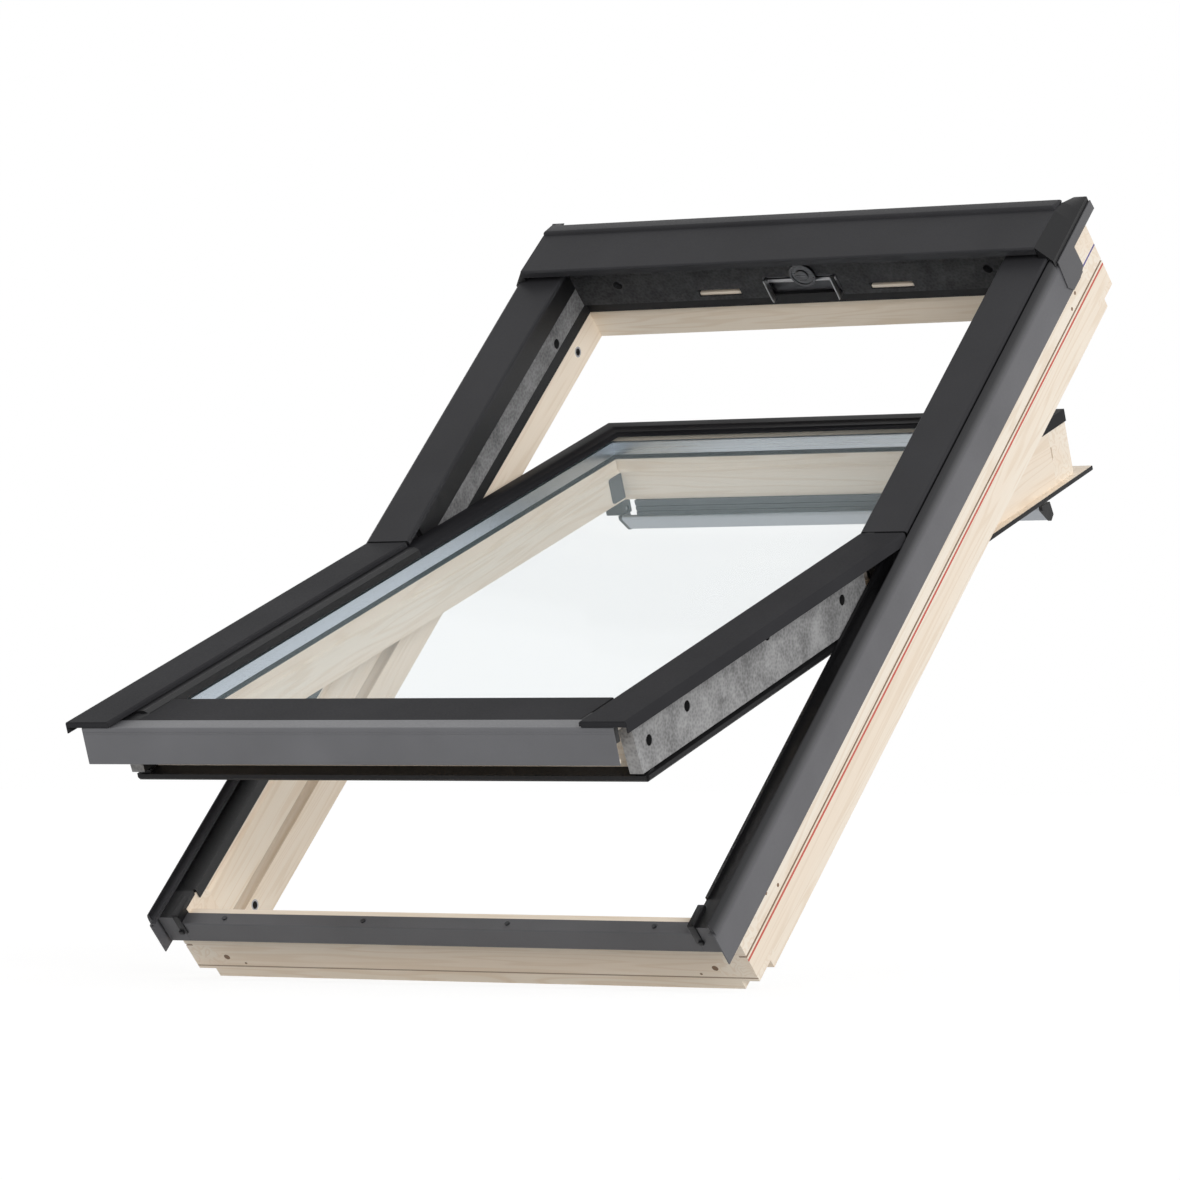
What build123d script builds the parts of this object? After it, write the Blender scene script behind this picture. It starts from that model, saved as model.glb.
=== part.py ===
from build123d import *
from math import cos, radians, sin
import os

# A roof window: a pine frame set at the roof's slope and a sash that turns about its middle.
# The window is drawn flat and closed: X runs across it, Y up the slope and Z outwards.
# At the end the sash is turned open, and the whole window is tilted to the roof's slope.
# The origin is then on the roof line at the middle of the window, with Z up.

# Driving sizes of the window
frame_width = 780.0
frame_height = 1178.0
roof_pitch = 45.0
frame_half = frame_width / 2
pivot_up = frame_height / 2 + 11.5
roof_line_depth = 92.0
open_angle = 24.84
pivot_out = 1.0

# Frame timber
timber_width = 45.0
rebate_step = 11.0
timber_top = -24.0
shelf_depth = -97.0
back_step_depth = -126.0
frame_back = -139.0
back_strip_setback = 24.0
back_strip_inset = 1.0
stile_strip_start = 34.0
stile_strip_stop = 27.0
rail_wall = 7.0
rail_wall_top = -31.0
tenon_top = -88.0
tenon_bottom = -118.0
lip_height = 12.0
lip_overhang = 1.0
lip_groove_depth = 3.0
lip_groove_height = 8.0
shelf_cove = 6.0
side_groove_depth = 86.0
side_groove_width = 2.6
side_groove_cut = 1.6
timber_edge = 1.5

# Sheet metal
sheet = 1.5
thin_sheet = 1.2
bend = 3.0

# Outer covers
cover_half = frame_half - 5.6
cover_inner_half = frame_half - 67.7
cover_inner_lip = 6.0
cover_flange = 14.0
upper_cover_lip = 4.0
upper_cover_end = frame_height - 78.0
cover_break = 1.5
lower_cover_low = -43.7

# Frame claddings and drain channels
cladding_top = -17.0
cladding_bottom = -64.0
cladding_shelf = 8.8
cladding_bend = 5.0
cladding_overhang = 32.0
cladding_end = frame_height - 48.0
channel_start = 26.0
channel_flange_drop = 14.0
channel_flange_top = -18.0
channel_flange_width = 4.0
channel_outer_half = frame_half - 4.0
front_cladding_front = -20.0
front_cladding_top = -28.5
front_cladding_drop = 28.8
front_cladding_tail = 14.0

# Corner keys
key_top = -18.8
key_gap = 0.4
key_outer_half = frame_half - 5.0
key_reach = 24.0

# Upper linings
lining_half = frame_half - 54.0
lining_start = pivot_up + 44.5
carrier_wall = 2.5
carrier_top = -2.0
carrier_bottom = -45.0
carrier_outer_half = frame_half - 8.0
gasket_top = -74.0
gasket_stop = -90.0
gasket_corner_gap = 0.5
top_gasket_face = frame_height - 54.0
top_foam_face = frame_height - 59.0
top_foam_top = -13.0
top_foam_half = frame_half - 54.0
foam_hole_radius = 6.5
top_foam_hole_x = 271.0
top_foam_hole_depth = -43.0
top_slot_x = 126.0
top_slot_length = 63.0
top_slot_depth = -62.5
top_slot_height = 11.0
foam_hole_cut = 9.0
lining_hole = (frame_height - 141.4, -66.0)

# Strike for the latch
strike_half = 54.0
strike_top = -40.0
strike_bottom = -73.0
strike_depth = 12.0
strike_wall = 2.0
roller_radius = 3.4
roller_depth = -50.0

# Hood, its end caps, brackets and the flashing behind it
hood_half = frame_half - 16.2
hood_front = frame_height - 97.0
hood_front_top = 18.4
hood_lip = 10.0
hood_ridge = frame_height - 23.4
hood_ridge_top = 15.7
hood_back = frame_height
hood_back_top = 9.0
hood_back_drop = 18.0
cap_outer_half = frame_half + 1.3
cap_front = frame_height - 95.0
cap_back = frame_height + 25.0
cap_outer_top = -5.0
cap_bottom = -14.0
cap_gap = 0.3
bracket_thickness = 1.5
bracket_gap = 0.1
bracket_outline = (
    (frame_height - 89.0, -12.0),
    (frame_height + 26.0, -12.0),
    (frame_height + 27.0, -26.0),
    (frame_height - 45.0, -26.0),
    (frame_height - 44.0, -57.7),
    (frame_height - 59.3, -63.3),
    (frame_height - 82.4, -63.0),
    (frame_height - 91.6, -51.5),
)
flashing_back = frame_height + 25.0
flashing_top = -10.0
flashing_drop = 16.0

# Sash timber
sash_half = frame_half - 57.0
sash_inner_half = frame_half - 90.0
sash_lip_half = frame_half - 47.0
sash_lip = 6.0
sash_body_top = -18.0
glass_half = frame_half - 68.0
glass_seat = -43.0
glass_sight_step = 3.0
glass_edge_gap = 2.5
sash_cove_depth = 14.0
sash_top_inner = frame_height - 122.0
sash_top_outer = frame_height - 76.0
sash_top_lip = frame_height - 47.0
sash_bottom_inner = 70.0
sash_bottom_outer = 43.0
sash_bottom_lip = 33.0
nose_half = frame_half - 38.0
nose_front = -39.0
nose_back = -23.0
nose_bottom = -57.0
nose_toe = 5.0
bridge_top = -12.0
bridge_bottom = -21.0

# Insulating glass
pane = 4.0
glass_gap = 16.0
glass_out = -18.0
glass_low = 50.0
glass_high = frame_height - 101.0
spacer_inset = 9.0
spacer_width = 7.0

# Glazing profiles
profile_sight = frame_half - 87.0
profile_top = -8.0
profile_half = frame_half - 55.4
profile_high = frame_height - 74.4
profile_ridge = frame_half - 72.0
bead_top = -1.9
bead_shoulder = -6.6
bead_gap = 0.1
bead_low = 12.0
bottom_profile_high = 63.0
bottom_profile_out = -9.5
bottom_cover_half = frame_half - 25.8
bottom_cover_front = -41.8
bottom_cover_top = -8.0
bottom_cover_bottom = -53.0
bottom_cover_back = -12.0
bottom_cover_return = 2.4

# Lower insulation, sash gasket
lower_foam_half = frame_half - 38.0
lower_foam_low = 8.0
lower_foam_high = pivot_up - 55.5
lower_foam_top = -4.0
lower_foam_bottom = -84.0
lower_foam_slant = 9.0
lower_foam_holes = ((41.4, -53.0), (128.5, -44.7), (317.2, -27.3), (pivot_up - 112.0, -44.7))
sash_gasket_half = frame_half - 37.0
sash_gasket_low = 23.2
sash_gasket_root = -85.0
sash_gasket_shoulder = -89.0
sash_gasket_base = -96.7
sash_gasket_gap = 0.1
sash_gasket_chamfer = 3.0

# Pivot hinges
arc_radius = 26.5
arc_thickness = 4.0
arc_clearance = 0.3
arc_start = 2.0
arc_end = 83.0
arc_depth = 11.5
groove_turn = 110.0
block_inner_half = frame_half - 50.0
block_outer_half = frame_half - 36.5
block_half_length = 40.0
block_top = -3.0
block_bottom = -60.0
block_corner = 18.0
block_base_top = -47.0
hinge_plate = 4.7
plate_low = pivot_up - 25.5
plate_high = pivot_up + 33.5
plate_bottom = -52.0
plate_top = -12.0
plate_corner = 8.0

# Lock, barrel bolt and control bar
lock_half = 45.0
lock_height = 30.0
lock_centre = -60.0
lock_plate = 3.0
lock_depth = 20.0
lock_clearance = 0.3
latch_half = 12.0
latch_height = 8.0
latch_reach = 21.5
latch_travel = 14.0
bolt_radius = 4.0
bolt_up = frame_height - 101.5
bolt_depth = -115.7
bolt_travel = 12.0
bolt_tip = frame_half - 48.6
bolt_length = 26.0
bolt_knob = 2.0
bolt_knob_end = -128.0
bolt_knob_inset = 3.6
bolt_fit = 0.08
housing_half_height = 6.5
housing_half_length = 9.0
housing_outer = frame_half - 49.1
housing_length = 27.9
housing_gap = 0.1
housing_slot_gap = 0.4
bush_radius = 7.0
bush_wall = 2.2
bush_length = 16.0
bush_places = ((bolt_up, bolt_depth), (87.2, -108.5))
flap_half = frame_half - 106.0
flap_front = frame_height - 126.0
flap_bottom = -117.0
flap_slant = 12.0
flap_groove = 2.0
flap_groove_step = 6.5
flap_axis_up = frame_height - 75.5
flap_axis_depth = -101.0
flap_round = 3.5
bar_half = frame_half - 84.0
bar_low = frame_height - 129.0
bar_high = frame_height - 112.0
bar_top = -117.3
bar_bottom = -141.0
bar_wall = 3.0
bar_cap = 5.0
bracket_low = frame_height - 152.0
bracket_bottom = -94.0
bracket_top = -58.0
bracket_plate = 2.0

# Screws
screw_radius = 3.0
screw_head = 1.4
cladding_screw_xs = (-298.0, -100.0, 100.0, 298.0)

# Sizes that follow from the driving ones
opening_half = frame_half - timber_width
rebate_half = opening_half + rebate_step
opening_high = frame_height - timber_width
rebate_high = opening_high + rebate_step
strip_outer_half = frame_half - back_strip_inset
cladding_half = frame_half + sheet
arc_inner = arc_radius - arc_thickness / 2
arc_outer = arc_radius + arc_thickness / 2
inner_glass_out = glass_out - pane - glass_gap
lip_top = shelf_depth + sash_lip
hinge_plate_half = sash_half + hinge_plate
bead_step = cover_inner_half + sheet + 5 * bead_gap


def outline(points, rounds=()):
    """Closed outline, with some corners rounded: rounds holds (point number, radius)."""
    face = make_face(Polyline(*points, close=True))
    for number, radius in rounds:
        corner = face.vertices().sort_by_distance((*points[number], 0))[0]
        face = fillet([corner], radius)
    return face


def folded(points, thickness, radius, side=Side.LEFT):
    """Section of a folded sheet that follows the points with its outer face."""
    path = FilletPolyline(*points, radius=radius)
    return make_face(offset(path, amount=thickness, side=side))


def up_slope(section, low, high):
    """Bar along Y from a section drawn in X and Z."""
    plane = Plane(origin=(0, low, 0), x_dir=(1, 0, 0), z_dir=(0, -1, 0))
    return extrude(plane * section, amount=low - high)


def across(section, left, right):
    """Bar along X from a section drawn in Y and Z."""
    plane = Plane(origin=(left, 0, 0), x_dir=(0, 1, 0), z_dir=(1, 0, 0))
    return extrude(plane * section, amount=right - left)


def block(x, y, z):
    """Box between two values on each axis."""
    size = [b - a for a, b in (x, y, z)]
    middle = [(a + b) / 2 for a, b in (x, y, z)]
    return Pos(*middle) * Box(*size)


def mirrored(piece):
    return mirror(piece, about=Plane.YZ)


# Frame timber

def stile_section():
    groove_low = timber_top - lip_height - lip_groove_height
    points = (
        (opening_half, back_step_depth),
        (opening_half, shelf_depth),
        (rebate_half, shelf_depth),
        (rebate_half, groove_low),
        (rebate_half + lip_groove_depth, groove_low + lip_groove_depth),
        (rebate_half + lip_groove_depth, timber_top - lip_height),
        (rebate_half - lip_overhang, timber_top - lip_height),
        (rebate_half - lip_overhang, timber_top),
        (frame_half, timber_top),
        (frame_half, back_step_depth),
    )
    return outline(points, ((1, timber_edge), (2, shelf_cove)))


def side_groove():
    low = -side_groove_depth - side_groove_width / 2
    high = -side_groove_depth + side_groove_width / 2
    return block((frame_half - side_groove_cut, frame_half + 1), (-1, frame_height + 1), (low, high))


def frame_stile():
    bar = up_slope(stile_section(), 0, frame_height)
    strip_x = (opening_half, strip_outer_half)
    bar += block(strip_x, (timber_width, opening_high), (frame_back, back_step_depth))
    lug_x = (frame_half - back_strip_setback, strip_outer_half)
    lug_z = (frame_back, back_step_depth)
    bar += block(lug_x, (stile_strip_start, timber_width), lug_z)
    bar += block(lug_x, (opening_high, frame_height - stile_strip_stop), lug_z)
    across_joint = (opening_half - 1, frame_half + 1)
    for low, high in ((-1, timber_width), (opening_high, frame_height + 1)):
        bar -= block(across_joint, (low, high), (tenon_top, timber_top + 1))
        bar -= block(across_joint, (low, high), (back_step_depth - 1, tenon_bottom))
        bar -= block((opening_half - 1, rebate_half), (low, high), (shelf_depth, tenon_top))
    return bar - side_groove()


def bottom_rail():
    points = (
        (0, back_step_depth),
        (0, rail_wall_top),
        (rail_wall, rail_wall_top),
        (rail_wall, shelf_depth),
        (timber_width, shelf_depth),
        (timber_width, back_step_depth),
    )
    bar = across(outline(points, ((3, shelf_cove), (4, timber_edge))), -frame_half, frame_half)
    for side in (-1, 1):
        x = sorted((side * rebate_half, side * frame_half))
        bar += block(x, (0, timber_width), (shelf_depth, timber_top))
    bar += rail_strip(0, timber_width)
    return cut_joint(bar, -1, timber_width)


def top_rail():
    points = (
        (opening_high, back_step_depth),
        (opening_high, shelf_depth),
        (rebate_high, shelf_depth),
        (rebate_high, timber_top),
        (frame_height, timber_top),
        (frame_height, back_step_depth),
    )
    bar = across(outline(points, ((1, timber_edge), (2, shelf_cove))), -frame_half, frame_half)
    for side in (-1, 1):
        x = sorted((side * rebate_half, side * frame_half))
        bar += block(x, (opening_high, frame_height), (shelf_depth, timber_top))
    bar += rail_strip(opening_high, frame_height)
    return cut_joint(bar, opening_high, frame_height + 1)


def rail_strip(low, high):
    half = frame_half - back_strip_setback
    return block((-half, half), (low, high), (frame_back, back_step_depth))


def cut_joint(bar, low, high):
    """Slots for the stiles' tenons and the grooves that run on over the rail's ends."""
    for side in (-1, 1):
        for inner, bottom, top in ((opening_half, tenon_bottom, shelf_depth), (rebate_half, shelf_depth, tenon_top)):
            x = sorted((side * inner, side * (frame_half + 1)))
            bar -= block(x, (low, high), (bottom, top))
    groove = side_groove()
    return bar - groove - mirrored(groove)


# Frame claddings, channels and corner keys

def side_cladding():
    points = (
        (cladding_half - cladding_shelf, cladding_top),
        (cladding_half, cladding_top),
        (cladding_half, cladding_bottom),
    )
    section = folded(points, sheet, cladding_bend, Side.RIGHT)
    return up_slope(section, -cladding_overhang, cladding_end)


def drain_channel():
    flange = rebate_half - lip_overhang - thin_sheet
    floor = timber_top + thin_sheet
    points = (
        (flange, channel_flange_top - channel_flange_drop),
        (flange, channel_flange_top),
        (flange + channel_flange_width, channel_flange_top),
        (flange + channel_flange_width, floor),
        (channel_outer_half, floor),
        (channel_outer_half, cladding_top - sheet - thin_sheet / 2),
    )
    section = make_face(offset(Polyline(*points), amount=thin_sheet, side=Side.RIGHT))
    return up_slope(section, channel_start, cladding_end)


def front_cladding():
    points = (
        (front_cladding_front, front_cladding_top - front_cladding_drop),
        (front_cladding_front, front_cladding_top),
        (-thin_sheet, front_cladding_top),
        (-thin_sheet, front_cladding_top - front_cladding_tail),
    )
    path = FilletPolyline(*points, radius=bend / 2)
    section = make_face(offset(path, amount=thin_sheet, side=Side.RIGHT))
    return across(section, -rebate_half, rebate_half)


def corner_key():
    x = (rebate_half + key_gap, key_outer_half)
    skirt_z = (front_cladding_top - front_cladding_drop, key_top)
    key = block(x, (front_cladding_front, -key_gap), skirt_z)
    return key + block(x, (front_cladding_front, key_reach), (timber_top, key_top))


# Upper linings and covers

def cover_section(outer_lip):
    points = (
        (cover_inner_half, -cover_inner_lip),
        (cover_inner_half, 0),
        (cover_half, 0),
        (cover_half, -outer_lip),
    )
    return folded(points, sheet, bend, Side.RIGHT)


def upper_cover():
    return up_slope(cover_section(upper_cover_lip), pivot_up + cover_break, upper_cover_end)


def lower_cover():
    return up_slope(cover_section(cover_flange), lower_cover_low, pivot_up - cover_break)


def cover_carrier():
    floor = timber_top + thin_sheet
    points = (
        (lining_half, carrier_bottom),
        (lining_half, carrier_top),
        (carrier_outer_half, carrier_top),
        (carrier_outer_half, floor + thin_sheet / 4),
    )
    section = make_face(offset(Polyline(*points), amount=carrier_wall, side=Side.RIGHT))
    return up_slope(section, lining_start, top_foam_face)


def holes_along_x(places, radius, inner, outer):
    group = []
    for up, out in places:
        group.append(Pos((inner + outer) / 2, up, out) * Rot(0, 90, 0) * Cylinder(radius, outer - inner))
    return group


def upper_insulation():
    back = rebate_half - 0.5
    step = rebate_half - lip_overhang - thin_sheet - 0.5
    wall = lining_half + carrier_wall + 0.3
    points = (
        (lining_half, gasket_top),
        (back, gasket_top),
        (back, carrier_bottom - 1),
        (step, carrier_bottom - 1),
        (step, carrier_top - carrier_wall - 0.3),
        (wall, carrier_top - carrier_wall - 0.3),
        (wall, carrier_bottom - 0.5),
        (lining_half, carrier_bottom - 0.5),
    )
    bar = up_slope(outline(points), lining_start, top_foam_face)
    low, high = lining_half - 1, lining_half + foam_hole_cut
    for hole in holes_along_x([lining_hole], foam_hole_radius, low, high):
        bar -= hole
    return bar


def upper_gasket():
    corner = shelf_cove + gasket_corner_gap

    def section(face, rebate, opening):
        return outline((
            (face, gasket_stop),
            (face, gasket_top),
            (rebate, gasket_top),
            (rebate, shelf_depth + corner),
            (rebate - corner, shelf_depth),
            (opening, shelf_depth),
            (opening, gasket_stop),
        ))

    side = up_slope(section(lining_half, rebate_half, opening_half), lining_start, rebate_high - corner)
    top = across(section(top_gasket_face, rebate_high, opening_high), corner - rebate_half, rebate_half - corner)
    return side + mirrored(side) + top


def top_insulation():
    back = rebate_high - 0.3
    x = (-top_foam_half, top_foam_half)
    bar = block(x, (top_foam_face, back), (gasket_top, top_foam_top))
    for side in (-1, 1):
        slot_x = (side * top_slot_x - top_slot_length / 2, side * top_slot_x + top_slot_length / 2)
        slot_z = (top_slot_depth - top_slot_height / 2, top_slot_depth + top_slot_height / 2)
        bar -= block(slot_x, (top_foam_face - 1, back + 1), slot_z)
        place = Pos(side * top_foam_hole_x, top_foam_face, top_foam_hole_depth)
        bar -= place * Rot(90, 0, 0) * Cylinder(foam_hole_radius, 2 * foam_hole_cut)
    pocket_z = (strike_bottom - 2, strike_top + 0.3)
    pocket_x = (-strike_half - 0.3, strike_half + 0.3)
    return bar - block(pocket_x, (top_foam_face - 1, top_foam_face + strike_depth), pocket_z)


def strike_box():
    back = top_foam_face + strike_depth - 0.3
    box = block((-strike_half, strike_half), (top_foam_face, back), (strike_bottom, strike_top))
    inside = (-strike_half + strike_wall, strike_half - strike_wall)
    hollow_z = (strike_bottom - 1, strike_top - strike_wall)
    box -= block(inside, (top_foam_face - 1, back - strike_wall), hollow_z)
    return box


def strike_roller():
    place = Pos(0, top_foam_face + strike_wall + roller_radius, roller_depth)
    return place * Rot(0, 90, 0) * Cylinder(roller_radius, 2 * (strike_half - strike_wall) - 0.4)


# Hood and what carries it

def hood():
    points = (
        (hood_front, hood_front_top - hood_lip),
        (hood_front, hood_front_top),
        (hood_ridge, hood_ridge_top),
        (hood_back, hood_back_top),
        (hood_back, hood_back_top - hood_back_drop),
    )
    path = FilletPolyline(*points, radius=bend)
    section = make_face(offset(path, amount=thin_sheet, side=Side.RIGHT))
    return across(section, -hood_half, hood_half)


def cap_outline(top_front, top_ridge, top_back, base):
    return (
        (cap_front, base),
        (cap_front, top_front),
        (hood_ridge, top_ridge),
        (hood_back, top_back),
        (cap_back, cap_outer_top),
        (cap_back, base),
    )


def hood_cap():
    ridge_drop = 2 * cap_gap
    tops = (hood_front_top - ridge_drop, hood_ridge_top - ridge_drop, hood_back_top - ridge_drop)
    inner_points = cap_outline(*tops, cap_outer_top - thin_sheet)
    outer_points = cap_outline(cap_outer_top, cap_outer_top, cap_outer_top, cap_bottom)
    inner_plane = Plane(origin=(hood_half, 0, 0), x_dir=(0, 1, 0), z_dir=(1, 0, 0))
    outer_plane = Plane(origin=(cap_outer_half, 0, 0), x_dir=(0, 1, 0), z_dir=(1, 0, 0))
    cap = loft([inner_plane * outline(inner_points), outer_plane * outline(outer_points)])
    clear_x = (hood_half - 1, cover_half + 2 * cap_gap)
    return cap - block(clear_x, (cap_front - 1, top_foam_face + cap_gap), (cap_bottom - 1, cap_gap))


def hood_bracket():
    inner = cladding_half + bracket_gap
    return across(outline(bracket_outline), inner, inner + bracket_thickness)


def top_flashing():
    points = (
        (top_foam_face, flashing_top),
        (flashing_back - 2, flashing_top),
        (flashing_back - 2, flashing_top - flashing_drop),
    )
    path = FilletPolyline(*points, radius=bend)
    section = make_face(offset(path, amount=thin_sheet, side=Side.RIGHT))
    return across(section, -hood_half, hood_half)


# Sash timber

def sash_stile():
    foot = glass_seat - sash_cove_depth
    points = (
        (sash_inner_half, shelf_depth),
        (sash_lip_half, shelf_depth),
        (sash_lip_half, lip_top),
        (sash_half, lip_top),
        (sash_half, sash_body_top),
        (glass_half + glass_edge_gap, sash_body_top),
        (glass_half + glass_edge_gap, glass_seat),
        (sash_inner_half + glass_sight_step, glass_seat),
        (sash_inner_half + glass_sight_step, foot),
        (sash_inner_half, foot - glass_sight_step),
    )
    return up_slope(outline(points), sash_bottom_inner, sash_top_inner)


def sash_rail_section(inner, body, lip, edge):
    """Section of a sash rail; inner, body, lip and the glass edge are places up the slope."""
    away = 1 if inner > body else -1
    foot = glass_seat - sash_cove_depth
    sight = inner - away * glass_sight_step
    rebate = edge - away * glass_edge_gap
    return (
        (inner, shelf_depth),
        (lip, shelf_depth),
        (lip, lip_top),
        (body, lip_top),
        (body, sash_body_top),
        (rebate, sash_body_top),
        (rebate, glass_seat),
        (sight, glass_seat),
        (sight, foot),
        (inner, foot - glass_sight_step),
    )


def sash_rail(inner, body, lip, edge):
    section = outline(sash_rail_section(inner, body, lip, edge))
    bar = across(section, -sash_half, sash_half)
    lip_y = sorted((lip, inner))
    for side in (-1, 1):
        x = sorted((side * sash_half, side * sash_lip_half))
        bar += block(x, lip_y, (shelf_depth, lip_top))
        step_x = sorted((side * (glass_half + glass_edge_gap), side * sash_half))
        bar += block(step_x, sorted((inner, body)), (glass_seat, sash_body_top))
    return bar


def sash_top_rail():
    bar = sash_rail(sash_top_inner, sash_top_outer, sash_top_lip, glass_high)
    low = sash_top_outer - lock_depth
    pocket_z = (lock_centre - lock_height / 2 - lock_clearance, lock_centre + lock_height / 2 + lock_clearance)
    pocket_x = (-lock_half - lock_clearance, lock_half + lock_clearance)
    bar -= block(pocket_x, (low - lock_clearance, sash_top_outer + 1), pocket_z)
    return bar


def sash_bottom_rail():
    bar = sash_rail(sash_bottom_inner, sash_bottom_outer, sash_bottom_lip, glass_low)
    points = (
        (sash_bottom_outer, bridge_bottom),
        (nose_back, bridge_bottom),
        (nose_back, nose_bottom + nose_toe),
        (nose_back + nose_toe / 3, nose_bottom + nose_toe),
        (nose_back + nose_toe / 3, nose_bottom),
        (nose_front, nose_bottom + nose_toe),
        (nose_front, bridge_top),
        (sash_bottom_outer, bridge_top),
    )
    nose = across(outline(points), -nose_half, nose_half)
    behind_y = (lower_foam_low - bead_gap, sash_bottom_outer + 1)
    for side in (-1, 1):
        x = sorted((side * (profile_half - bead_gap), side * (nose_half + 1)))
        nose -= block(x, behind_y, (nose_bottom, bridge_top + 1))
    bar += nose
    body_y = (sash_bottom_outer, glass_low - glass_edge_gap)
    bar += block((-sash_half, sash_half), body_y, (sash_body_top, bridge_top))
    return bar


# Insulating glass

def pane_at(out):
    x = (-glass_half, glass_half)
    return block(x, (glass_low, glass_high), (out - pane, out))


def ring(half, low, high, width, bottom, top):
    outer = block((-half, half), (low, high), (bottom, top))
    hole = block((width - half, half - width), (low + width, high - width), (bottom - 1, top + 1))
    return outer - hole


def glass_spacer():
    low, high = glass_low + spacer_inset, glass_high - spacer_inset
    half = glass_half - spacer_inset
    return ring(half, low, high, spacer_width, glass_out - pane - glass_gap, glass_out - pane)


def glazing_tape():
    width = glass_half - sash_inner_half - glass_sight_step
    bottom = glass_seat
    top = inner_glass_out - pane
    return ring(glass_half, glass_low, glass_high, width, bottom, top)


# Glazing profiles and sash covers

def upper_profile():
    def section(sight, ridge, half, way):
        return (
            (sight, glass_out),
            (sight + way * 3, glass_out + 6),
            (ridge - way * 2, glass_out + 7),
            (ridge, profile_top - 0.5),
            (half, profile_top),
            (half, sash_body_top - 22),
            (half - way * 1.5, sash_body_top - 22),
            (half - way * 1.5, sash_body_top),
            (half - way * 4, glass_out),
        )
    side = up_slope(outline(section(profile_sight, profile_ridge, profile_half, 1)), pivot_up, profile_high)
    offset_up = profile_high - profile_half
    top_points = section(profile_sight + offset_up, profile_ridge + offset_up, profile_high, 1)
    top = across(outline(top_points), -profile_half, profile_half)
    seat_z = (plate_bottom, plate_top + 2 * bead_gap)
    side -= block((sash_half, profile_half + 1), (pivot_up - 1, plate_high + 2 * bead_gap), seat_z)
    return side + mirrored(side) + top


def lower_bead():
    points = (
        (profile_sight, glass_out),
        (profile_sight + 3, glass_out + 8),
        (profile_sight + 9, bead_shoulder),
        (bead_step, bead_shoulder),
        (bead_step, bead_top - bend / 2),
        (bead_step + bend / 2, bead_top),
        (sash_half, bead_top),
        (sash_half, glass_out),
    )
    bead = up_slope(outline(points), bead_low, pivot_up - cover_break)
    rail_y = (bead_low - 1, glass_low - glass_edge_gap + bead_gap)
    return bead - block((profile_sight - 1, sash_half + 1), rail_y, (glass_out - 1, bridge_top + bead_gap))


def bottom_profile():
    seat = bridge_top + bead_gap
    heel = glass_low - 2 * bead_gap
    points = (
        (bottom_cover_back, seat),
        (bottom_cover_back, bottom_profile_out),
        (bottom_profile_high - 3, bottom_profile_out),
        (bottom_profile_high, glass_out + 3),
        (bottom_profile_high, glass_out),
        (heel, glass_out),
        (heel, seat),
    )
    return across(outline(points), -profile_sight, profile_sight)


def bottom_cover():
    points = (
        (bottom_cover_front + bottom_cover_return, bottom_cover_bottom),
        (bottom_cover_front, bottom_cover_bottom),
        (bottom_cover_front, bottom_cover_top),
        (bottom_cover_back - 0.5, bottom_cover_top - 1),
        (bottom_cover_back - 0.5, bottom_profile_out - 2),
    )
    path = FilletPolyline(*points, radius=bend / 2)
    section = make_face(offset(path, amount=thin_sheet, side=Side.RIGHT))
    return across(section, -bottom_cover_half, bottom_cover_half)


def lower_insulation():
    points = (
        (lower_foam_low, lower_foam_top),
        (lower_foam_high, lower_foam_top),
        (lower_foam_high, lower_foam_bottom),
        (lower_foam_low + lower_foam_slant, lower_foam_bottom),
    )
    plate = across(outline(points), profile_half, lower_foam_half)
    low = lower_foam_half - foam_hole_cut
    for hole in holes_along_x(lower_foam_holes, foam_hole_radius, low, lower_foam_half + 1):
        plate -= hole
    return plate


def sash_gasket():
    def section(body, lip, edge):
        inwards = sash_gasket_chamfer if body > edge else -sash_gasket_chamfer
        return (
            (body, sash_gasket_root),
            (edge, sash_gasket_shoulder),
            (edge, sash_gasket_base + sash_gasket_chamfer),
            (edge + inwards, sash_gasket_base),
            (lip, sash_gasket_base),
            (lip, lip_top + sash_gasket_gap),
            (body, lip_top + sash_gasket_gap),
        )
    gap = sash_gasket_gap
    side_points = section(sash_half + gap, sash_lip_half + gap, sash_gasket_half)
    side = up_slope(outline(side_points), sash_gasket_low + sash_gasket_chamfer, lower_foam_high)
    points = section(sash_bottom_outer - gap, sash_bottom_lip - gap, sash_gasket_low)
    half = sash_gasket_half - sash_gasket_chamfer
    bottom = across(outline(points), -half, half)
    return side + mirrored(side) + bottom


# Pivot hinges

def on_arc(radius, angle):
    """Point about the pivot; the angle is from straight in, towards the top of the window."""
    turn = radians(angle)
    return (pivot_up + radius * sin(turn), pivot_out - radius * cos(turn))


def arc_section(inner, outer, start, end):
    middle = (start + end) / 2
    outer_arc = ThreePointArc(*(on_arc(outer, a) for a in (start, middle, end)))
    inner_arc = ThreePointArc(*(on_arc(inner, a) for a in (end, middle, start)))
    ends = Line(outer_arc @ 1, inner_arc @ 0), Line(inner_arc @ 1, outer_arc @ 0)
    return make_face([outer_arc, ends[0], inner_arc, ends[1]])


def hinge_block():
    low, high = pivot_up - block_half_length, pivot_up + block_half_length
    points = ((low, block_bottom), (high, block_bottom), (high, block_top), (low, block_top))
    rounds = ((0, block_corner), (1, block_corner))
    body = across(outline(points, rounds), block_inner_half, block_outer_half)
    base_points = ((low + block_corner, block_bottom + 1), (high - block_corner, block_bottom + 1),
                   (high - block_corner, block_base_top), (low + block_corner, block_base_top))
    body += across(outline(base_points), block_outer_half, rebate_half)
    groove = arc_section(arc_inner - arc_clearance, arc_outer + arc_clearance, -groove_turn, groove_turn)
    return body - across(groove, block_inner_half - 1, block_inner_half + arc_depth)


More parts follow.
